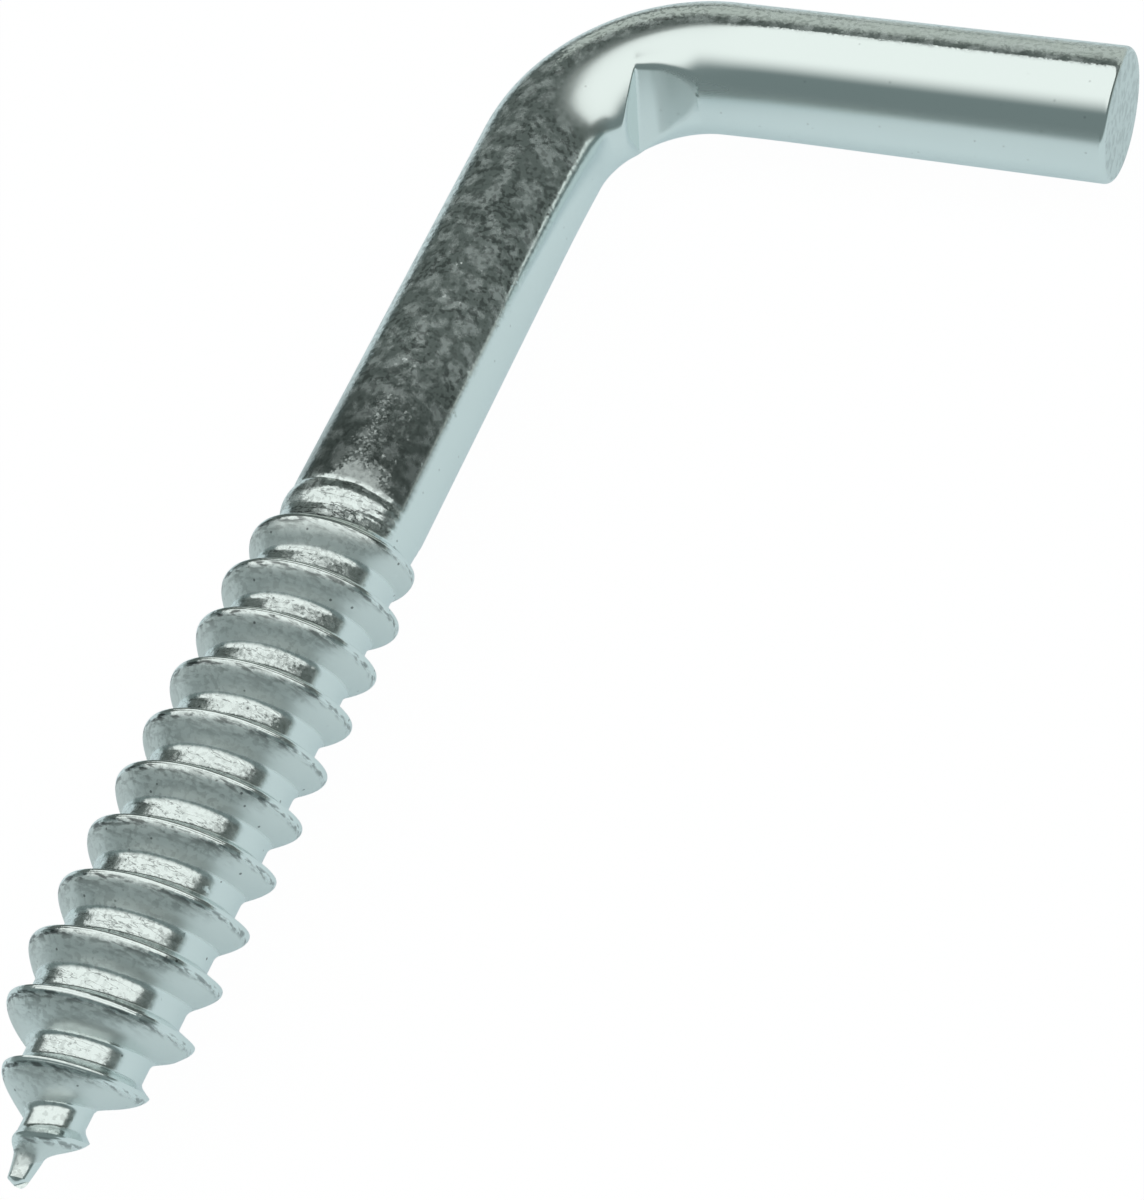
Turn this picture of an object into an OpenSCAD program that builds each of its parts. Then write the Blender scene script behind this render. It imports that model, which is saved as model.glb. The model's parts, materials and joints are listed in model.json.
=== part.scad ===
// L-hook screw: one bent steel wire with a rolled wood-screw thread, lying on its side

/* [Wire] */
// Diameter of the wire
wire_d = 5; // [4.6:0.1:5.4]
// Chamfer round the cut end of the arm
cut_edge = 0.3; // [0.1:0.05:0.6]

/* [Hook] */
// Distance from the tip to the arm's axis, along the screw
hook_l = 49; // [44:1:70]
// Distance from the screw's axis to the arm's end, along the arm
arm_l = 21.2; // [15:0.2:30]
// Radius of the bend, on the wire's axis
bend_r = 5.8; // [5:0.1:7]

/* [Former mark] */
// Place of the crease of the mark that the bending former left inside the bend, in degrees from the shank
mark_at = 57; // [50:1:65]
// Tilt of the mark, which makes it deeper toward the top, in degrees
mark_tilt = 21; // [15:1:25]
// Width of the mark's face on the shank's side of the crease
mark_face = 0.9; // [0.6:0.05:1.3]
// Slope of that face against the arm, in degrees
mark_slope = 21; // [15:1:30]
// Width of the mark's face on the arm's side
mark_far_face = 1.05; // [0.6:0.05:1.2]

/* [Thread] */
// Length of the thread, with its point
thread_l = 25.8; // [20:0.2:28]
// Depth of the root below the wire's surface
root_in = 0.1; // [0.1:0.05:0.5]
// Height of the ridge above the root
ridge_h = 0.75; // [0.5:0.05:1]
// Distance from one ridge to the next
pitch = 2.03; // [1.85:0.01:2.4]
// Width of the flat top of the ridge
crest_flat = 0.3; // [0.1:0.05:0.4]
// Width of the flat between two ridges
root_flat = 1; // [0.4:0.1:1.1]
// Share of the ridge's slopes that the slope toward the tip takes: 0.5 is an even ridge
tip_slope = 0.7; // [0.5:0.05:0.8]
// Length over which the thread rises out of the shank
start_l = 4.5; // [3:0.5:7]
// Turn of the whole thread about its axis, in degrees
thread_turn = 114; // [0:1:359]

/* [Point] */
// Length over which the crests taper to the point
point_l = 6.2; // [4:0.2:8]
// Length over which the root tapers to the point
root_point_l = 5.4; // [5:0.2:9]
// Length of the slim nose at the tip
nose_l = 1.3; // [0.6:0.1:1.8]
// Diameter of the nose where the root's taper starts
nose_d = 1; // [0.9:0.1:1.4]
// Diameter of the blunt tip
tip_d = 0.6; // [0.4:0.1:0.8]
// Fullness of the point: 1 is a straight taper, more is rounder
point_curve = 1.5; // [1:0.05:2]

/* [Hidden] */
$fn = 96;
zinc = [0.74, 0.79, 0.78];

wire_r = wire_d / 2;
root_r = wire_r - root_in;
crest_r = root_r + ridge_h;
nose_r = nose_d / 2;
tip_r = tip_d / 2;

// The bend is a right angle: it starts this high up the screw, and has this radius inside
bend_z = hook_l - bend_r;
inner_r = bend_r - wire_r;

// The shank and the arm each reach into the bend with a thinner core, so that the three are one wire
core_r = wire_r / 2;
core_l = wire_r / 2;

// The threaded end is sunk this many turns into the shank, which ends in a short cone below the root
sunk_turns = 1;
cone_l = 0.5;
cone_in = 0.12;

// Slope of the mark's face on the arm's side, in degrees
mark_far_slope = 10;

// A turn of the thread has four edges: both sides of the root, then both sides of the crest
slope_end = root_flat + tip_slope * (pitch - root_flat - crest_flat);
edge_offset = [0, root_flat, slope_end, slope_end + crest_flat];
edges = len(edge_offset);
sides = 40;

// The ridge rises fast out of the shank, then slowly
start_curve = 2;

// The first turn at the tip rises only this much, so that the tip is blunt
tip_rise = 0.3;
turns = 1 + ceil((thread_l - tip_rise) / pitch) + sunk_turns;
last_row = edges * turns - 1;

// Share of the way from a to b, kept between 0 and 1, and the same with a full curve that slows down
function share(x, a, b) = min(1, max(0, (x - a) / (b - a)));
function full(way, curve) = 1 - pow(1 - way, curve);

// Radius of the root at a height above the tip
function root_at(z) =
    tip_r + (nose_r - tip_r) * share(z, 0, nose_l) + (root_r - nose_r) * share(z, nose_l, root_point_l);

// Radius of the crest there: it tapers to the point, and sinks into the shank at the other end
function point_crest(z) =
    tip_r + (crest_r - tip_r) * full(share(z, tip_rise, point_l), point_curve);
function start_crest(z) =
    root_r + ridge_h * full(share(z, thread_l, thread_l - start_l), start_curve);
function crest_at(z) = max(root_at(z), min(point_crest(z), start_crest(z)));

// Height of the thread after a number of turns, and the points along its edges
function rise(turn) = turn < 1 ? tip_rise * turn : tip_rise + pitch * (turn - 1);
function edge_point(row, side) =
    let (edge = row % edges)
    let (z = rise(floor(row / edges) + side / sides + edge_offset[edge] / pitch))
    let (r = edge < 2 ? root_at(z) : crest_at(z))
    [r * cos(360 * side / sides), r * sin(360 * side / sides), z];

// Number of a point in the list: past the last side, an edge runs on into the next turn
function at(row, side) = side < sides ? row * sides + side : (row + edges) * sides;

// Threaded end: its surface is a strip between neighbouring edges, wound round the axis
module thread() {
    tip = (last_row + 1) * sides;
    top = tip + 1;
    tip_rim = [for (side = [0 : sides - 1]) at(0, side), for (row = [edges : -1 : 1]) at(row, 0)];
    top_rim = [
        for (side = [0 : sides - 1]) at(last_row, side),
        for (row = [1 : edges]) at(last_row - row, sides - 1)
    ];
    rim_l = len(tip_rim);
    points = [
        for (row = [0 : last_row]) for (side = [0 : sides - 1]) edge_point(row, side),
        [0, 0, 0],
        [0, 0, rise(turns + 1)]
    ];
    faces = [
        for (row = [0 : last_row - 1]) for (side = [0 : sides - 1])
            if (side < sides - 1 || row < last_row - edges)
                each [
                    [at(row, side), at(row + 1, side), at(row + 1, side + 1)],
                    [at(row, side), at(row + 1, side + 1), at(row, side + 1)]
                ],
        for (i = [0 : rim_l - 1]) [tip, tip_rim[i], tip_rim[(i + 1) % rim_l]],
        for (i = [0 : rim_l - 1]) [top, top_rim[(i + 1) % rim_l], top_rim[i]]
    ];
    rotate([0, 0, thread_turn]) polyhedron(points, faces);
}

// Plain shank, from the thread up to the bend
module shank() {
    shank_l = bend_z - thread_l;
    translate([0, 0, thread_l]) rotate_extrude() polygon([
        [0, -cone_l], [root_r - cone_in, -cone_l], [wire_r, 0], [wire_r, shank_l],
        [core_r, shank_l], [core_r, shank_l + core_l], [0, shank_l + core_l]
    ]);
}

// Places its children at the centre of the bend, with +X toward the shank and +Y up the screw
module at_bend() {
    translate([0, bend_r, bend_z]) rotate([90, 0, -90]) children();
}

// Bend between the shank and the arm
module bend() {
    at_bend() rotate_extrude(angle = 90) translate([bend_r, 0]) circle(r = wire_r);
}

// Straight arm, with a chamfer round its cut end
module arm() {
    straight_l = arm_l - bend_r;
    translate([0, bend_r, hook_l]) rotate([-90, 0, 0]) rotate_extrude() polygon([
        [0, -core_l], [core_r, -core_l], [core_r, 0], [wire_r, 0],
        [wire_r, straight_l - cut_edge], [wire_r - cut_edge, straight_l], [0, straight_l]
    ]);
}

// Mark of the bending former, cut into the inside of the bend: two faces that meet in a crease
module former_mark() {
    corner = mark_face * [cos(mark_slope), -sin(mark_slope)];
    wall_foot = corner - [0, wire_r];
    far_corner = mark_far_face * [-cos(mark_far_slope), sin(mark_far_slope)];
    far_foot = [far_corner[0], wall_foot[1]];
    at_bend() translate(inner_r * [cos(mark_at), sin(mark_at), 0]) rotate([mark_tilt, 0, 0])
        linear_extrude(2 * wire_d, center = true)
            polygon([[0, 0], corner, wall_foot, far_foot, far_corner]);
}

// Whole screw, laid on its side with the arm toward +X and the thread toward -Y.
// The origin is on the screw's axis, where the thread starts.
module hook_screw() {
    color(zinc) rotate([-90, -90, 0]) translate([0, 0, -thread_l]) difference() {
        union() {
            thread();
            shank();
            bend();
            arm();
        }
        former_mark();
    }
}

hook_screw();
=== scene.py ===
# %% [markdown]
# An L-hook screw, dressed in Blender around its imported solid.
#
# The real thing is one piece of round steel wire. A thread is rolled on one end, the other end is bent
# to a right angle, and the whole is plated with zinc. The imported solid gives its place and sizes. This
# lesson builds a finer skin over it, gives the skin a plated finish, and sets up a small studio.

# %% Load the frame
import json
import math
import bpy
import numpy as np
from mathutils import Matrix, Vector


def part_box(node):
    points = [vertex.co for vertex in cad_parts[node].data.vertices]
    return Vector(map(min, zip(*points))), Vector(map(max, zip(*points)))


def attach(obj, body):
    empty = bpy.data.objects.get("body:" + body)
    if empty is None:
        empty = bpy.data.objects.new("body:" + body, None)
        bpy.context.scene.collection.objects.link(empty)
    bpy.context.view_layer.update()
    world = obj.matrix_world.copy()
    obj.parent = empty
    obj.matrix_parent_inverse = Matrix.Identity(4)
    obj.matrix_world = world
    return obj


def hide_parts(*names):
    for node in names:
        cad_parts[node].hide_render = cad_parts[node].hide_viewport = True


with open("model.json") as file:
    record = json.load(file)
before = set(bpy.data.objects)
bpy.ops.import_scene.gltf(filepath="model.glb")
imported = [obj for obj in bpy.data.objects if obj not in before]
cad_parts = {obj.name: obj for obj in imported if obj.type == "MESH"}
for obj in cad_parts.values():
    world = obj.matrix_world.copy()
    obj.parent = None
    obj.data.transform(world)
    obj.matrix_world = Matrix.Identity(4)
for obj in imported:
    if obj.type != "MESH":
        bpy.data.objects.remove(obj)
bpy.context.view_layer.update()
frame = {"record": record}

# %% [markdown]
# Most sizes are already in the frame, so they are read from there and not typed again. The box gives the
# tip, the arm's end and the crests. The record's pin mount on the arm gives the wire and the bend: its
# line is the arm's axis, its radius is the wire's, and it starts where the bend ends.

# %% Sizes that the frame holds
MM = 0.001
low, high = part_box("hook_screw")
arm_pin = next(m for m in frame["record"]["mounts"] if m["name"] == "hook_arm")
wire_r = arm_pin["dims"]["r_mm"] * MM
arm_y = arm_pin["pos_m"][1]
bend_r = arm_pin["pos_m"][0] - arm_pin["dims"]["length_mm"] * MM / 2
bend_y = arm_y - bend_r
arm_end = high.x
thread_l = -low.y
crest_r = high.z
floor_z = low.z
print(f"wire {2 * wire_r / MM:.2f} mm, bend radius {bend_r / MM:.2f} mm, thread {thread_l / MM:.2f} mm")

# %% [markdown]
# The camera comes first, so that every later render can be laid beside the photograph. It stands close
# to the screw, a little above it on the thread's side, and is rolled so that the screw runs up the
# picture. A short distance with a fairly long lens keeps the strong taper of the shank.

# %% Camera
camera_place = Vector((39.81, -38.12, 65.30)) * MM
camera_aim = Vector((9.0, -1.51, 0)) * MM
camera_roll = math.radians(-21.83)
camera_lens = 71.9

camera_data = bpy.data.cameras.new("camera")
camera_data.sensor_width = 36
camera_data.lens = camera_lens
camera_data.clip_start = 1 * MM
camera = bpy.data.objects.new("camera", camera_data)
bpy.context.scene.collection.objects.link(camera)
camera.location = camera_place
camera_turn = (camera_aim - camera_place).to_track_quat("-Z", "Y").to_matrix()
camera.rotation_euler = (camera_turn @ Matrix.Rotation(camera_roll, 3, "Z")).to_euler()
bpy.context.scene.camera = camera
print("camera", round((camera_aim - camera_place).length / MM, 1), "mm from its aim")

# %% [markdown]
# The skin is made from grids of points, because a wire and a thread are both sweeps: one ring or one
# profile, carried along a path. NumPy works out all the points at once, and one helper turns points and
# faces into a mesh object.

# %% Helpers for shapes
def mesh_object(name, points, faces):
    """Makes a mesh object from an array of points and a list of faces."""
    mesh = bpy.data.meshes.new(name)
    mesh.from_pydata(np.reshape(points, (-1, 3)).tolist(), [], faces)
    mesh.update()
    made = bpy.data.objects.new(name, mesh)
    bpy.context.scene.collection.objects.link(made)
    return made


def share(x, start, end):
    """How far x is from start to end, from 0 to 1."""
    return np.clip((x - start) / (end - start), 0, 1)


def ease(x, start, end):
    """The same, but slow at both ends."""
    way = share(x, start, end)
    return way * way * (3 - 2 * way)


def soft_min(a, b, blend):
    """The smaller of two, with the corner between them rounded over a length of blend."""
    near = np.maximum(blend - np.abs(a - b), 0) / blend
    return np.minimum(a, b) - near * near * blend / 4


def soft_max(a, b, blend):
    """The larger of two, rounded in the same way."""
    return -soft_min(-a, -b, blend)


# %% [markdown]
# The wire. A ring of points is carried up the shank, round the bend and out along the arm. Each ring
# needs a centre on the wire's axis, the direction that points to the inside of the hook, and a radius.
# The first rings are the neck, a slim cone that runs down into the thread's root, and the last ones
# round the edge of the cut and close its face. A ring has more points where the bend is marked.

# %% Rings along the wire
fine_from, fine_to = math.radians(10), math.radians(130)
fine_points, coarse_points = 96, 72
neck_rows = 30
shank_rows = 20
bend_rows = 116
arm_rows = 18
edge_rows = 10
face_rows = 8
neck_l = 1.7 * MM
neck_drop = 0.15 * MM
cut_edge = 0.3 * MM

angle = np.concatenate([
    np.linspace(fine_from, fine_to, fine_points, endpoint=False),
    np.linspace(fine_to, fine_from + 2 * math.pi, coarse_points, endpoint=False),
])
around = len(angle)
quarter = np.linspace(0, math.pi / 2, edge_rows)
turn = np.linspace(0, math.pi / 2, bend_rows)
neck_along = np.linspace(-neck_l, 0, neck_rows)[:-1]
shank_along = np.linspace(0, bend_y, shank_rows)[:-1]
arm_along = np.linspace(bend_r, arm_end - cut_edge, arm_rows)[1:-1]
edge_along = arm_end - cut_edge + cut_edge * np.sin(quarter)
face_along = np.full(face_rows, arm_end)

straight_y = np.concatenate([neck_along, shank_along])
straight_x = np.concatenate([arm_along, edge_along, face_along])
ring_x = np.concatenate([0 * straight_y, bend_r - bend_r * np.cos(turn), straight_x])
ring_y = np.concatenate([straight_y, bend_y + bend_r * np.sin(turn), 0 * straight_x + arm_y])
ring_turn = np.concatenate([0 * straight_y, turn, 0 * straight_x + math.pi / 2])
ring_r = np.concatenate([
    wire_r + neck_drop * neck_along / neck_l,
    np.full(shank_rows - 1 + bend_rows + len(arm_along), wire_r),
    wire_r - cut_edge + cut_edge * np.cos(quarter),
    (wire_r - cut_edge) * np.linspace(1, 0, face_rows + 1, endpoint=False)[1:],
])

ring_centre = np.stack([ring_x, ring_y, 0 * ring_x], axis=-1)[:, None, :]
ring_inner = np.stack([np.cos(ring_turn), -np.sin(ring_turn), 0 * ring_turn], axis=-1)[:, None, :]
ring_up = np.array([0, 0, 1])
outward = np.cos(angle)[None, :, None] * ring_up + np.sin(angle)[None, :, None] * ring_inner
print(len(ring_x), "rings of", around, "points")

# %% [markdown]
# The dies that roll a thread leave a few faint wavy rings where they end, on the neck. They are shallow
# grooves whose place along the neck wanders a little as they go round.

# %% Rings on the neck
groove_places = np.array([-0.20, -0.55, -0.95]) * MM
groove_depth = 0.020 * MM
groove_width = 0.07 * MM
groove_wander = 0.05 * MM
long_waves, short_waves, short_share = 3, 7, 0.6

radius = np.repeat(ring_r[:, None], around, axis=1)
for number, groove_y in enumerate(groove_places):
    wander = np.sin(long_waves * angle + 2 * number)
    wander += short_share * np.sin(short_waves * angle + number)
    wander *= groove_wander
    off = (ring_y[:, None] - groove_y - wander[None, :]) / groove_width
    radius -= groove_depth * np.exp(-off * off)
print(len(groove_places), "grooves on the neck")

# %% [markdown]
# Bending squeezes the wire on the inside of the bend, so it swells there a little, and the tool that it
# was bent round has left a mark: two faces that meet in a crease, with a wall at either side. All four
# are planes. A line from the wire's axis leaves the steel where it has passed all four, so the largest
# of the four distances is the new radius, if it is less than the old one. Soft maxima and minima round
# the crease and the rim, as pressing does. The steel that was pushed aside stands up in a low lip, which
# fades out toward the ends of the bend and toward the top of the wire.

# %% Swelling
swell = 0.22 * MM
swell_reach = 8 * MM

bend_l = bend_r * math.pi / 2
along = np.concatenate([straight_y - bend_y, bend_r * turn, bend_l + straight_x - bend_r])
swelling = swell * (1 - ease(np.abs(along - bend_l / 2), 0, swell_reach))
inside = np.maximum(np.sin(angle), 0) ** 2
full_ring = (ring_r > wire_r - cut_edge)[:, None]
radius += swelling[:, None] * inside[None, :] * full_ring
print("the bend swells by", round(float(swelling.max() / MM), 2), "mm inside")

# %% Faces of the former mark
mark_turn = math.radians(57)
mark_tilt = math.radians(21)
mark_face = 0.9 * MM
mark_slope = math.radians(21)
mark_far_face = 1.5 * MM
mark_far_slope = math.radians(8)
mark_depth = 0.10 * MM


def on_mark(across, up):
    """A direction in the mark's section: across is toward the shank, up is along the tilted screw."""
    return np.array([-across, up * math.cos(mark_tilt), -up * math.sin(mark_tilt)])


bend_centre = np.array([bend_r, bend_y, 0])
to_mark = np.array([-math.cos(mark_turn), math.sin(mark_turn), 0])
crease = bend_centre + (bend_r - wire_r + mark_depth) * to_mark
corner = crease + mark_face * on_mark(math.cos(mark_slope), -math.sin(mark_slope))
far_corner = crease + mark_far_face * on_mark(-math.cos(mark_far_slope), math.sin(mark_far_slope))
mark_planes = [
    (crease, on_mark(-math.sin(mark_slope), -math.cos(mark_slope))),
    (crease, on_mark(-math.sin(mark_far_slope), -math.cos(mark_far_slope))),
    (corner, on_mark(-1, 0)),
    (far_corner, on_mark(1, 0)),
]
print(len(mark_planes), "planes bound the mark")

# %% Pressing the mark
mark_rim = 0.12 * MM
mark_crease = 0.10 * MM
mark_from, mark_to = math.radians(12), math.radians(86)
lip_height = 0.09 * MM
lip_width = 0.50 * MM
lip_start = math.radians(14), math.radians(28)
lip_stop = math.radians(72), math.radians(86)
lip_under_top = math.radians(14), math.radians(32)
shallow = 0.05
far_off = 1.0


def reach_of_plane(point, facing):
    """How far a line from the axis runs before it passes a plane into the mark."""
    toward = outward @ facing
    depth = (point - ring_centre) @ facing
    passes = toward > shallow
    beyond = radius * toward > depth
    never = np.where(beyond, -far_off, far_off)
    return np.where(passes, depth / np.where(passes, toward, 1), never)


mark_reach = np.full(radius.shape, -far_off)
for point, facing in mark_planes:
    mark_reach = soft_max(mark_reach, reach_of_plane(point, facing), mark_crease)
on_bend = ((ring_turn > mark_from) & (ring_turn < mark_to))[:, None]
outside = np.maximum(mark_reach - radius, 0) / lip_width
lip_ends = ease(ring_turn, *lip_start) * (1 - ease(ring_turn, *lip_stop))
lip_top = ease(angle, *lip_under_top) * (angle < math.pi)
lipped = radius + lip_height * lip_ends[:, None] * lip_top[None, :] * np.exp(-outside * outside)
pressed = np.where(on_bend & (mark_reach > 0), soft_min(lipped, mark_reach, mark_rim), radius)
print("the mark is", round(float((radius - pressed).max() / MM), 2), "mm deep")
wire_points = ring_centre + pressed[..., None] * outward

# %% Wire mesh
def ring_faces(rows, sides):
    """Quads between neighbouring rings, and a fan of triangles to an end point at both ends."""
    first, last = rows * sides, rows * sides + 1
    faces = []
    for side in range(sides):
        beside = (side + 1) % sides
        faces.append((first, beside, side))
        faces.append((last, (rows - 1) * sides + side, (rows - 1) * sides + beside))
        for row in range(rows - 1):
            this, above = row * sides, (row + 1) * sides
            faces.append((this + side, this + beside, above + beside, above + side))
    return faces


wire_ends = np.array([ring_centre[0, 0], ring_centre[-1, 0]])
wire_points = np.concatenate([wire_points.reshape(-1, 3), wire_ends])
wire = mesh_object("wire", wire_points, ring_faces(len(ring_x), around))
print("wire:", len(wire.data.polygons), "faces")

# %% [markdown]
# The thread. A coarse thread is one ridge wound round a core. If its grid followed plain rings, the
# crest would come out as a staircase, so here each row of points climbs with the thread: after one turn
# a row runs on into the row that lies one pitch higher. The ridge's section is drawn once: the root, a
# long full slope that faces the tip, a rounded crest with a fine rolling seam, and a steep slope behind.
# Fillets join both slopes to the root. The section's widths are in millimetres, and its heights are
# shares of the ridge's height, because the ridge is lower at both ends of the thread.

# %% Section of the ridge
pitch = 2.03 * MM
root_flat = 0.74
slope_end = 1.58
crest_end = 1.77
crest_round = 0.03
slope_curve = 1.35
fillet = 0.25
seam_half = 0.03
seam_depth = 0.008

pitch_mm = pitch / MM
root_places = np.array([0, 0.04, 0.09, 0.15, 0.24, 0.34, 0.43, 0.51, 0.58, 0.64])
slope_points, crest_points, back_points = 14, 11, 6
section_at = np.concatenate([
    root_places,
    np.linspace(root_flat, slope_end, slope_points)[:-1],
    np.linspace(slope_end, crest_end, crest_points)[:-1],
    np.linspace(crest_end, pitch_mm, back_points)[:-1],
])
up = (section_at - root_flat) / (slope_end - root_flat)
down = (pitch_mm - section_at) / (pitch_mm - crest_end)
back_foot = -section_at / (pitch_mm - crest_end)
on_crest = np.clip((section_at - slope_end) / (crest_end - slope_end), 0, 1)
rising = np.where(up > 1, up, 1 - (1 - np.minimum(up, 1)) ** slope_curve)
slopes = np.where(section_at < root_flat / 2, back_foot, np.minimum(rising, down))
capped = np.minimum((1 - crest_round) * slopes, 1 - crest_round * (2 * on_crest - 1) ** 2)
section = soft_max(capped, 0 * capped, fillet)
middle = (slope_end + crest_end) / 2
seam = np.maximum(1 - np.abs(section_at - middle) / seam_half, 0)
print(len(section_at), "points to a turn's section, highest", round(float(section.max()), 3))

# %% [markdown]
# At the point, the root steps down from turn to turn: each turn's root is a short cylinder, and the
# ridge hides the step. A plain cone would mirror a darker part of the room. The last bit is a bare nose
# with a rounded tip. At the other end the ridge sinks into the shank, fast at first and then slowly.

# %% Radii along the thread
sides = 100
root_r = 2.40 * MM
tip_r = 0.30 * MM
nose_r = 0.50 * MM
tip_rise = 0.3 * MM
tip_round = 0.22 * MM
nose_l = 1.3 * MM
bare_l, ridged_l = 0.8 * MM, 1.5 * MM
bare_ridge = 0.15
point_l = 6.2 * MM
root_point_l = 5.4 * MM
point_curve = 1.5
start_l = 4.5 * MM
start_curve = 2
thread_turn = math.radians(114)
uneven = 0.03
dip_rate, dip_beat = 1.7, 0.61
tip_share = 0.5
seam_full = 0.5 * MM

per_turn = len(section_at)
turns = 2 + math.ceil((thread_l - tip_rise) / pitch)
row_turns = (np.arange(turns)[:, None] + section_at / pitch_mm).reshape(-1, 1)
row_turns = row_turns + np.arange(sides) / sides
row_section = np.tile(section, turns)[:, None]
row_seam = np.tile(seam, turns)[:, None]
section_step = np.where(
    section_at < root_flat,
    root_flat / 2 - section_at,
    (section_at - root_flat) / (pitch_mm - root_flat) * pitch_mm + root_flat / 2 - section_at,
)
row_step = np.tile(section_step, turns)[:, None] * MM
height = np.where(row_turns < 1, tip_rise * row_turns, tip_rise + pitch * (row_turns - 1))


def full(way, curve):
    """A share that rises fast, then slowly."""
    return 1 - (1 - way) ** curve


step_height = height + row_step * ease(height, bare_l, ridged_l)
core = (
    tip_r
    + (nose_r - tip_r) * share(step_height, 0, nose_l)
    + (root_r - nose_r) * share(step_height, nose_l, root_point_l)
)
point_crest = tip_r + (crest_r - tip_r) * full(share(height, tip_rise, point_l), point_curve)
start_share = full(share(height, thread_l, thread_l - start_l), start_curve)
start_crest = root_r + (crest_r - root_r) * start_share
crest = np.maximum(core, np.minimum(point_crest, start_crest))
row_angle = 2 * math.pi * row_turns
dips = 0.5 + 0.5 * np.sin(dip_rate * row_angle) * np.sin(dip_beat * row_angle)
ridge = (crest - core) * (1 - uneven * dips)
ridge *= bare_ridge + (1 - bare_ridge) * ease(height, bare_l, ridged_l)
core *= tip_share + (1 - tip_share) * np.sqrt(1 - (1 - share(height, 0, tip_round)) ** 2)
seam_share = share(ridge, 0, seam_full)
thread_r = core + ridge * row_section - seam_depth * MM * row_seam * seam_share
print("ridge", round(float(ridge.max() / MM), 2), "mm high at most")

# %% Thread mesh
def thread_faces(rows, sides, per_turn):
    """Quads between rows that climb round the core, and a fan of triangles at either end."""
    def at(row, side):
        return row * sides + side if side < sides else (row + per_turn) * sides

    last = rows - 1
    tip, top = rows * sides, rows * sides + 1
    faces = []
    for row in range(last):
        for side in range(sides):
            if side < sides - 1 or row + 1 + per_turn <= last:
                lower = at(row, side), at(row, side + 1)
                faces.append(lower + (at(row + 1, side + 1), at(row + 1, side)))
    tip_rim = [at(0, side) for side in range(sides)]
    tip_rim += [at(row, 0) for row in range(per_turn, 0, -1)]
    top_rim = [at(last, side) for side in range(sides)]
    top_rim += [at(last - row, sides - 1) for row in range(1, per_turn + 1)]
    for rim, end in ((tip_rim[::-1], tip), (top_rim, top)):
        faces += [(end, here, after) for here, after in zip(rim, rim[1:] + rim[:1])]
    return faces


thread_angle = thread_turn + 2 * math.pi * np.arange(sides) / sides
thread_points = np.stack(
    [thread_r * np.sin(thread_angle), height - thread_l, thread_r * np.cos(thread_angle)], axis=-1
)
thread_ends = np.array([[0, -thread_l, 0], [0, height.max() - thread_l, 0]])
rows = thread_points.shape[0]
thread_points = np.concatenate([thread_points.reshape(-1, 3), thread_ends])
thread = mesh_object("thread", thread_points, thread_faces(rows, sides, per_turn))
print("thread:", len(thread.data.polygons), "faces")

# %% [markdown]
# The wire and the thread overlap inside the shank. A boolean union turns them into one closed skin with
# nothing hidden inside, as the real screw is one piece of steel. It works only if the faces of both look
# outward. Then faces are shaded smooth, apart from edges that are really sharp.

# %% One skin
def joined(name, base, added):
    """The union of two closed meshes, as a new object. The two are removed."""
    union = base.modifiers.new("union", "BOOLEAN")
    union.operation = "UNION"
    union.solver = "MANIFOLD"
    union.object = added
    shaped = base.evaluated_get(bpy.context.evaluated_depsgraph_get())
    made = bpy.data.objects.new(name, bpy.data.meshes.new_from_object(shaped))
    bpy.context.scene.collection.objects.link(made)
    bpy.data.objects.remove(base)
    bpy.data.objects.remove(added)
    return made


sharp_angle = math.radians(50)
screw = joined("l_hook_screw", wire, thread)
screw.data.polygons.foreach_set("use_smooth", [True] * len(screw.data.polygons))
screw.data.set_sharp_from_angle(angle=sharp_angle)
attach(screw, "root")
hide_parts("hook_screw")
triangles = sum(len(p.vertices) - 2 for p in screw.data.polygons)
print("screw:", triangles, "triangles")

# %% [markdown]
# Materials are small programs made of nodes. To write them as sums, one class wraps a node's output, so
# that a + b adds a Math node, and another adds any node: first its settings, then its sockets.

# %% Shader helpers
class Socket:
    """A node's output. Maths on it adds Math nodes to its tree."""

    def __init__(self, shader, output):
        self.shader = shader
        self.output = output

    def math(self, operation, *values):
        return self.shader.node("ShaderNodeMath", {"operation": operation}, dict(enumerate(values)))

    def __add__(self, other):
        return self.math("ADD", self, other)

    def __sub__(self, other):
        return self.math("SUBTRACT", self, other)

    def __rsub__(self, other):
        return self.math("SUBTRACT", other, self)

    def __mul__(self, other):
        return self.math("MULTIPLY", self, other)

    def __truediv__(self, other):
        return self.math("DIVIDE", self, other)

    __radd__ = __add__
    __rmul__ = __mul__

    def ramp(self, start, end):
        """0 where the value is at start, 1 where it is at end, smooth between."""
        settings = {"interpolation_type": "SMOOTHSTEP"}
        sockets = {"Value": self, "From Min": start, "From Max": end}
        return self.shader.node("ShaderNodeMapRange", settings, sockets)

    def band(self, start, full_from, full_to, end):
        """1 between the two middle values, fading to 0 at the outer ones."""
        return self.ramp(start, full_from) * self.ramp(end, full_to)


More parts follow.
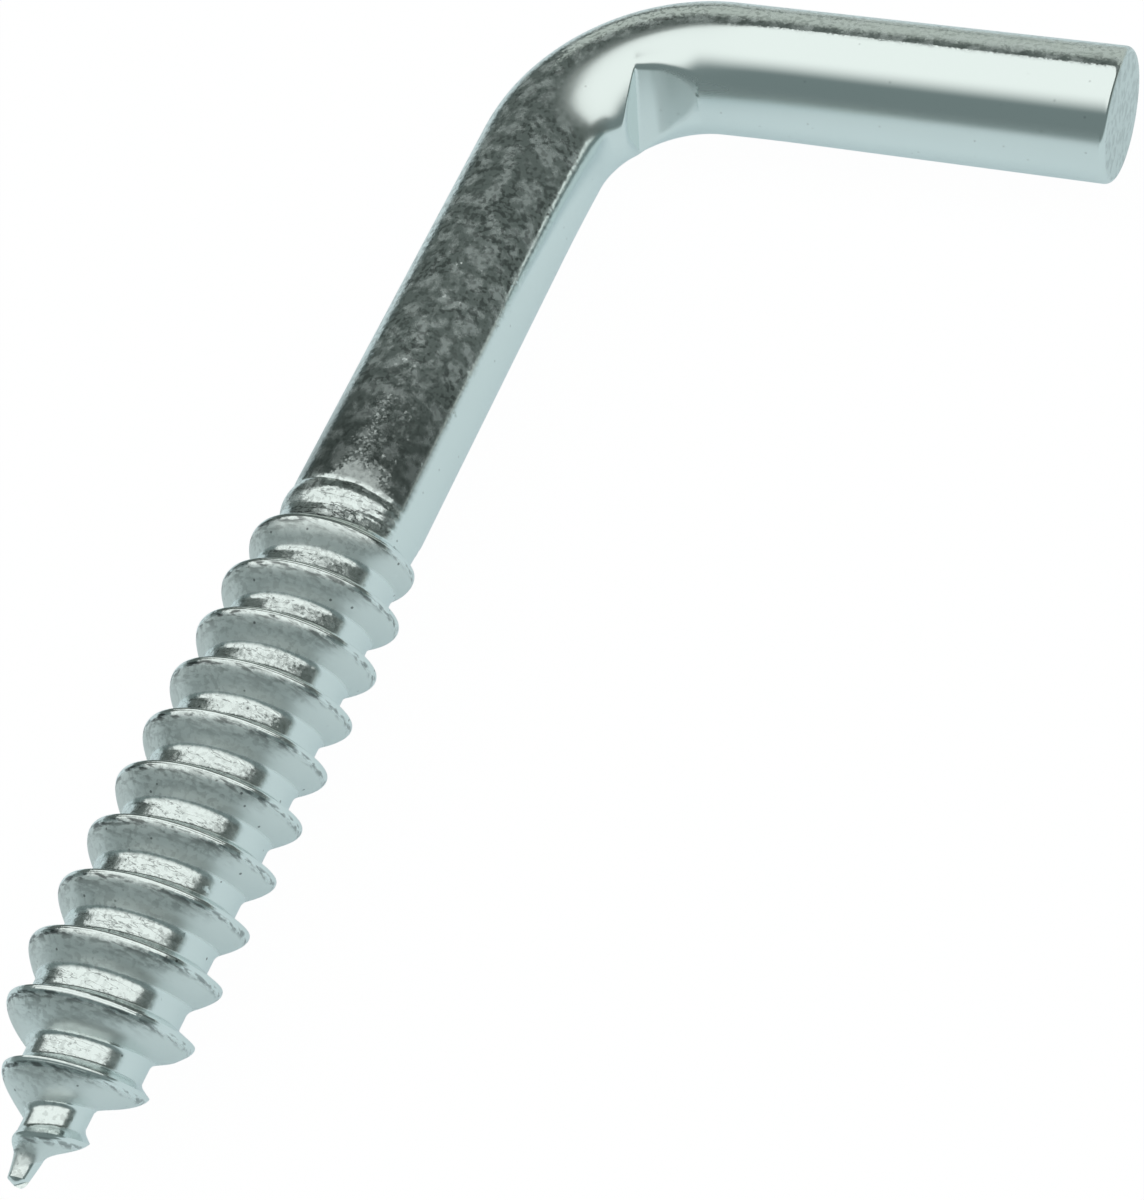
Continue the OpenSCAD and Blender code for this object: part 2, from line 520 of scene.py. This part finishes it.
class Shader:
    """A node tree that is filled node by node."""

    def __init__(self, tree):
        self.tree = tree
        tree.nodes.clear()

    def node(self, kind, settings, sockets, output=0):
        made = self.tree.nodes.new(kind)
        for name, value in settings.items():
            setattr(made, name, value)
        for name, value in sockets.items():
            if isinstance(value, Socket):
                self.tree.links.new(value.output, made.inputs[name])
            else:
                made.inputs[name].default_value = value
        return Socket(self, made.outputs[output]) if made.outputs else None

    def vector(self, operation, *values, **sockets):
        """A Vector Math node."""
        return self.node(
            "ShaderNodeVectorMath", {"operation": operation}, {**dict(enumerate(values)), **sockets}
        )

    def mixed(self, factor, first, second):
        """A colour between two colours."""
        return self.node("ShaderNodeMix", {"data_type": "RGBA"}, {0: factor, 6: first, 7: second}, 2)

    def axis(self, vector, name):
        """One of a vector's three numbers."""
        return self.node("ShaderNodeSeparateXYZ", {}, {"Vector": vector}, name)

    def noise(self, vector, size, detail):
        """Cloudy noise with patches of about the given size."""
        return self.node(
            "ShaderNodeTexNoise", {}, {"Vector": vector, "Scale": 1 / size, "Detail": detail}
        )

    def cells(self, vector, size, output):
        """Cells of about the given size, each with a colour and a position of its own."""
        return self.node("ShaderNodeTexVoronoi", {}, {"Vector": vector, "Scale": 1 / size}, output)

    def draw(self, vector):
        """A number from 0 to 1 that is drawn for each vector."""
        return self.node("ShaderNodeTexWhiteNoise", {}, {"Vector": vector})


def new_material(name):
    """An empty node material and the shader to fill it with."""
    material = bpy.data.materials.new(name)
    material.use_nodes = True
    return material, Shader(material.node_tree)


# %% [markdown]
# Zinc plate. Bright zinc is nearly a mirror, so a plain metal would look too clean. The finish is built
# up in layers. A grain of fine crystals tilts the mirror by a degree or so, and single flakes tilt it
# more and glint. The top of the wire is weathered: it has dark specks, and smudges where a dull film
# covers the metal. Just above the neck, the top of the shank is darkened with painted shade. The thread
# has dark streaks on the upper part of its slopes, on its top side, and below its crests, heavier on the
# left; these streaks are partly texture and partly painted shade. It has cracks in its root and small
# pits, and its slopes are duller than its root. The inside of the arm was burnished by the bending tool,
# which also flattened it a little along the top.
#
# The first step finds out where on the screw a point lies. Most places follow from the point itself and
# from the way that its surface faces. Pairs and fours of numbers say where a place starts and ends.

# %% Zinc plate: places
thread_from = -0.4 * MM, -1.6 * MM
neck_ends = -2 * MM, -1.5 * MM, -0.3 * MM, 0
neck_top_shade_ends = -0.15 * MM, 0.05 * MM, 1 * MM, 7 * MM
bend_from = 14 * MM, 19 * MM
arm_from = 3 * MM, 9 * MM
burnished_side = 0.02, -0.10
flat_strip = 0.03, -0.01, -0.15, -0.35
weathered_side = 0.36, 0.56
grainy_side = 0.50, 0.66
end_side = 0.85, 0.97
left_half = 0.5 * MM, -1.5 * MM
left_edge = -1.0 * MM, -2.6 * MM

zinc, shader = new_material("zinc_plate")
place = shader.node("ShaderNodeTexCoord", {}, {}, "Object")
normal = shader.node("ShaderNodeNewGeometry", {}, {}, "Normal")
at_x, at_y, at_z = (shader.axis(place, name) for name in "XYZ")
facing_x, facing_y, facing_z = (shader.axis(normal, name) for name in "XYZ")
threaded = at_y.ramp(*thread_from)
on_arm = at_x.ramp(*arm_from)
burnished = at_y.ramp(*bend_from) * facing_y.ramp(*burnished_side)
flattened = on_arm * facing_y.band(*flat_strip)
weathered = facing_z.ramp(*weathered_side) * (1 - burnished)
grainy = facing_z.ramp(*grainy_side) * (1 - burnished)
cut_face = facing_x.ramp(*end_side) * at_x.ramp(arm_end - cut_edge, arm_end - 0.5 * cut_edge)
necked = at_y.band(*neck_ends)
# Painted shade: the top of the shank just above the neck is darkened.
neck_top_shade = weathered * at_y.band(*neck_top_shade_ends)
left = at_x.ramp(*left_half)
leftmost = at_x.ramp(*left_edge)
print("places:", len(zinc.node_tree.nodes), "nodes")

# %% [markdown]
# The thread climbs one pitch in a turn. So a point's height, less its share of a turn, says at which
# part of the ridge's section it lies, in millimetres from the start of the root.

# %% Zinc plate: places on the ridge
root_ends = -0.2, -0.1, root_flat - 0.1, root_flat + 0.05
flank_ends = root_flat, root_flat + 0.1, slope_end - 0.12, slope_end
upper_slope_shade_ends = root_flat + 0.05, slope_end - 0.1, slope_end, slope_end + 0.06
under_crest_shade_ends = slope_end - 0.22, slope_end - 0.06, slope_end, slope_end + 0.08
crest_line_ends = slope_end + 0.04, slope_end + 0.1, crest_end - 0.1, crest_end
top_from = 0.8 * MM, 2.2 * MM

round_angle = at_x.math("ARCTAN2", at_x, at_z)
wound = (at_y + (thread_l - tip_rise)) / pitch - (round_angle - thread_turn) / (2 * math.pi)
section_place = wound.math("FRACT", wound) * pitch_mm
on_root = threaded * section_place.band(*root_ends)
on_flank = threaded * section_place.band(*flank_ends)
# Painted shade: the upper part of the slopes and the strip under the crests get dark streaks, more on
# the left.
upper_slope_shade = section_place.band(*upper_slope_shade_ends)
under_crest_shade = threaded * section_place.band(*under_crest_shade_ends)
on_crest_line = threaded * section_place.band(*crest_line_ends)
on_top = threaded * at_z.ramp(*top_from)
print("places on the ridge:", len(zinc.node_tree.nodes), "nodes so far")

# %% Zinc plate: grain
cloud_size, cloud_range = 1.3 * MM, (0.40, 0.64)
patch_size, patch_range = 0.30 * MM, (0.42, 0.64)
crystal_size, crystal_tilt = 0.085 * MM, 0.045
smooth_grain = 0.2
flake_size, flake_tilt = 0.14 * MM, 0.18
flake_range = 0.90, 0.98
flat_tilt = 0.16

cloud = shader.noise(place, cloud_size, 3).ramp(*cloud_range)
patch = shader.noise(place, patch_size, 3).ramp(*patch_range)
crystal = shader.cells(place, crystal_size, "Color")
flake_colour = shader.cells(place, flake_size, "Color")
flake = shader.draw(shader.cells(place, flake_size, "Position")).ramp(*flake_range)
flake = flake * (1 - burnished) * (0.3 + 0.7 * patch)

middle_grey = (0.5, 0.5, 0.5)
crystal_amount = crystal_tilt * (smooth_grain * (1 - burnished) + grainy)
crystal_lean = shader.vector("SUBTRACT", crystal, middle_grey)
crystal_lean = shader.vector("SCALE", crystal_lean, Scale=crystal_amount)
flake_lean = shader.vector("SUBTRACT", flake_colour, middle_grey)
flake_lean = shader.vector("SCALE", flake_lean, Scale=flake_tilt * flake)
flat_lean = shader.node("ShaderNodeCombineXYZ", {}, {"Y": -flat_tilt * flattened})
tilted = shader.vector("ADD", shader.vector("ADD", normal, crystal_lean), flake_lean)
tilted = shader.vector("NORMALIZE", shader.vector("ADD", tilted, flat_lean))
print("grain:", len(zinc.node_tree.nodes), "nodes so far")

# %% Zinc plate: specks, smudges, streaks, cracks and pits
speck_size, speck_range = 0.20 * MM, (0.49, 0.58)
smudge_size, smudge_range = 0.6 * MM, (0.45, 0.62)
streak_size, streak_range = 0.5 * MM, (0.45, 0.62)
streak_stretch = (1, 4, 1)
crack_size, crack_dark = 0.9 * MM, 0.65
crack_range = 0.480, 0.496, 0.504, 0.520
pit_spacing, pit_radius = 0.45 * MM, 0.10
pit_range = 0.6, 0.7

along_ridge = shader.vector("MULTIPLY", place, streak_stretch)
speck = shader.noise(place, speck_size, 5).ramp(*speck_range) * weathered
speck = speck * (0.5 + 0.5 * cloud) * (1 - 0.5 * on_arm)
smudge = shader.noise(place, smudge_size, 7).ramp(*smudge_range) * weathered * (1 - threaded)
streak = shader.noise(along_ridge, streak_size, 5).ramp(*streak_range)
crack = crack_dark * shader.noise(along_ridge, crack_size, 4).band(*crack_range)
pit_away = shader.cells(place, pit_spacing, "Distance")
pit_draw = shader.draw(shader.cells(place, pit_spacing, "Position"))
pit = pit_away.ramp(1.4 * pit_radius, 0.7 * pit_radius) * pit_draw.ramp(*pit_range)
pit = pit * (0.2 + 0.6 * threaded)
print("marks:", len(zinc.node_tree.nodes), "nodes so far")

# %% [markdown]
# The colour starts as bright plate. Each layer then covers a share of it with something darker. What is
# dull gets its look from the other two sockets: a film is less metallic, and a worn face is rougher.

# %% Zinc plate: colour
plate_bright = (0.83, 0.88, 0.87, 1)
# The two dark colours serve real specks, cracks, pits and the cut face, and also painted shade on the
# thread and above the neck.
plate_and_shade_dark = (0.22, 0.24, 0.235, 1)
pit_and_shade_dark = (0.10, 0.11, 0.11, 1)

layers = {
    "specks": ((0.7 - 0.4 * threaded) * speck * (1 - on_crest_line), plate_and_shade_dark),
    # Painted shade on the top of the shank above the neck, and the cut face's own darker tone.
    "painted shade above the neck, and cut face": (0.7 * neck_top_shade + cut_face * (0.05 + 0.25 * patch), plate_and_shade_dark),
    # Streaky texture, laid as painted shade on the upper slopes and under the crests, heavier on the
    # left.
    "streaks and painted shade on the slopes": (upper_slope_shade * on_top * streak * (0.40 + 0.15 * left), plate_and_shade_dark),
    "streaks and painted shade under the crests": (under_crest_shade * streak * (0.6 + 0.35 * left), pit_and_shade_dark),
    "cracks": (crack * (on_root * on_top + necked * weathered), pit_and_shade_dark),
    "pits": (pit, pit_and_shade_dark),
}
plate_colour = plate_bright
for covered, layer_colour in layers.values():
    plate_colour = shader.mixed(covered, plate_colour, layer_colour)
print("colour layers:", ", ".join(layers))

# %% Zinc plate: gloss
smudge_film, flank_film, left_film = 0.32, 0.26, 0.50
plain_rough, patch_rough = 0.11, 0.06
flank_rough, root_rough = 0.22, 0.05
low_rough, bend_rough, cut_rough = 0.14, 0.10, 0.2
low_side, low_until = (-0.78, -0.88), (0.33, 0.22)
bend_until, bend_side = (8 * MM, 5 * MM), (0.40, 0.55)

burnished_low = burnished * facing_y.ramp(*low_side) * facing_x.ramp(*low_until)
burnished_bend = burnished * at_x.ramp(*bend_until) * facing_z.ramp(*bend_side)
metallic = 1 - smudge_film * smudge - on_flank * (flank_film + left_film * leftmost)
roughness = plain_rough + patch_rough * weathered * patch
roughness = roughness + flank_rough * on_flank + root_rough * on_root
roughness = roughness + low_rough * burnished_low + bend_rough * burnished_bend + cut_rough * cut_face

plate = shader.node(
    "ShaderNodeBsdfPrincipled",
    {},
    {"Base Color": plate_colour, "Metallic": metallic, "Roughness": roughness, "Normal": tilted},
)
shader.node("ShaderNodeOutputMaterial", {}, {"Surface": plate})
screw.data.materials.clear()
screw.data.materials.append(zinc)
print("zinc plate:", len(zinc.node_tree.nodes), "nodes")

# %% [markdown]
# The studio. Polished metal shows what stands round it, so the look of the screw is made here as much
# as in its finish. The floor is white to the eye. In the metal it is a pale, slightly blue sheet that
# glows, with its light and shade painted in: it is brightest close to the screw and dims with distance,
# has painted shade on the left of the shank, and is painted grey behind, as a sheet of paper looks that
# curves up and away.

# %% Floor
floor_size = 20
shade_near, shade_far = -6 * MM, -34 * MM
shade_from, shade_full = -8 * MM, 6 * MM
grey_near, grey_far = 30 * MM, 56 * MM
close_by, far_away = 15 * MM, 85 * MM
pale_sheet = (0.80, 0.96, 1.0, 1)
dim_sheet = (0.25, 0.31, 0.305, 1)
shade_behind_sheet = (0.45, 0.50, 0.47, 1)
shade_sheet = (0.10, 0.125, 0.12, 1)
paper = (0.88, 0.93, 0.95, 1)
paper_share = 0.6
shown_share, shown_strength = 0.96, 1.02

floor_corner = floor_size / 2
floor = mesh_object(
    "floor",
    np.array([
        [-floor_corner, -floor_corner, floor_z],
        [floor_corner, -floor_corner, floor_z],
        [floor_corner, floor_corner, floor_z],
        [-floor_corner, floor_corner, floor_z],
    ]),
    [(0, 1, 2, 3)],
)
white, shader = new_material("floor_white")
camera_ray = shader.node("ShaderNodeLightPath", {}, {}, "Is Camera Ray")
glossy_ray = shader.node("ShaderNodeLightPath", {}, {}, "Is Glossy Ray")
through_ray = shader.node("ShaderNodeLightPath", {}, {}, "Is Transmission Ray")
floor_place = shader.node("ShaderNodeTexCoord", {}, {}, "Object")
floor_x, floor_y = (shader.axis(floor_place, name) for name in "XY")
# Painted light and shade on the sheet seen in the metal: dark on the left of the shank, grey behind,
# bright near the screw and dim far off.
lit = 1 - floor_x.ramp(shade_near, shade_far) * floor_y.ramp(shade_from, shade_full)
near = floor_y.ramp(grey_far, grey_near)
away = shader.node("ShaderNodeVectorMath", {"operation": "LENGTH"}, {0: floor_place}, "Value")
close = away.ramp(far_away, close_by)
sheet = shader.mixed(near, shade_behind_sheet, shader.mixed(close, dim_sheet, pale_sheet))
sheet = shader.mixed(lit, shade_sheet, sheet)

matt = shader.node("ShaderNodeBsdfDiffuse", {}, {"Color": paper})
mirrored = shader.node("ShaderNodeEmission", {}, {"Color": sheet, "Strength": 1.0})
shown = shader.node("ShaderNodeEmission", {}, {"Color": (1, 1, 1, 1), "Strength": shown_strength})
mirrored_share = (glossy_ray + through_ray) * (1 - paper_share * lit * near * close)
surface = shader.node("ShaderNodeMixShader", {}, {"Fac": mirrored_share, 1: matt, 2: mirrored})
surface = shader.node("ShaderNodeMixShader", {}, {"Fac": shown_share * camera_ray, 1: surface, 2: shown})
shader.node("ShaderNodeOutputMaterial", {}, {"Surface": surface})
floor.data.materials.append(white)
print("floor at", round(floor_z / MM, 2), "mm")

# %% [markdown]
# One softbox hangs overhead. Its far edge is crisp, and comes closest to the screw in the middle. Its
# near edge fades into the colour of the room. So the arm gets a bright band that ends sharply above and
# softly below, and the shank just misses it.

# %% Softbox
softbox_height = 0.40
softbox_far_left = 0.214
softbox_far = 0.182
softbox_far_right = 0.32
softbox_near = -0.07
softbox_fade = 0.32
softbox_half_width = 1.0
far_turn_left, far_turn_right = -0.14, 0.05
softbox_colour = (0.95, 1, 0.97, 1)
room_front = (0.172, 0.220, 0.218, 1)

softbox_points = [
    (-softbox_half_width, softbox_near - softbox_fade, softbox_height),
    (-softbox_half_width, softbox_far_left, softbox_height),
    (far_turn_left, softbox_far_left, softbox_height),
    (far_turn_right, softbox_far, softbox_height),
    (softbox_half_width, softbox_far_right, softbox_height),
    (softbox_half_width, softbox_near - softbox_fade, softbox_height),
]
softbox = mesh_object("softbox", softbox_points, [(0, 1, 2, 3, 4, 5)])
softbox.visible_camera = False
cloth, shader = new_material("softbox_cloth")
cloth_place = shader.node("ShaderNodeTexCoord", {}, {}, "Object")
lit = shader.axis(cloth_place, "Y").ramp(softbox_near - softbox_fade, softbox_near)
cloth_colour = shader.mixed(lit, room_front, softbox_colour)
glow = shader.node("ShaderNodeEmission", {}, {"Color": cloth_colour, "Strength": 1.0})
shader.node("ShaderNodeOutputMaterial", {}, {"Surface": glow})
softbox.data.materials.append(cloth)
print("softbox", 2 * softbox_half_width, "m wide")

# %% [markdown]
# A pale card stands some way behind the screw and gives the far side of the wire its soft grey. It fades
# out toward its top, so that no edge shows in the metal.

# %% Card behind
card_away = 0.5
card_half_width = 0.4
card_top = 0.38
card_fade = 0.18
card_colour = (0.48, 0.53, 0.49, 1)

card_points = [
    (-card_half_width, card_away, floor_z),
    (card_half_width, card_away, floor_z),
    (card_half_width, card_away, card_top),
    (-card_half_width, card_away, card_top),
]
card = mesh_object("card", card_points, [(0, 1, 2, 3)])
card.visible_camera = False
pale, shader = new_material("pale_card")
card_place = shader.node("ShaderNodeTexCoord", {}, {}, "Object")
lit = shader.axis(card_place, "Z").ramp(card_top, card_top - card_fade)
glow = shader.node("ShaderNodeEmission", {}, {"Color": card_colour, "Strength": 1.0})
clear = shader.node("ShaderNodeBsdfTransparent", {}, {})
card_face = shader.node("ShaderNodeMixShader", {}, {"Fac": lit, 1: clear, 2: glow})
shader.node("ShaderNodeOutputMaterial", {}, {"Surface": card_face})
card.data.materials.append(pale)
print("card", card_top, "m high")

# %% [markdown]
# The rest is a dim room, a little darker behind the screw than in front of it.

# %% Dim room
room_behind = (0.105, 0.125, 0.116, 1)
behind_from = -0.3, 0.4
world = bpy.data.worlds.new("room")
world.use_nodes = True
shader = Shader(world.node_tree)
way = shader.node("ShaderNodeTexCoord", {}, {}, "Generated")
behind = shader.axis(way, "Y").ramp(*behind_from)
room_colour = shader.mixed(behind, room_front, room_behind)
room = shader.node("ShaderNodeBackground", {}, {"Color": room_colour, "Strength": 1})
shader.node("ShaderNodeOutputWorld", {}, {"Surface": room})
bpy.context.scene.world = world
bpy.context.scene.view_settings.view_transform = "Standard"
print("studio ready")
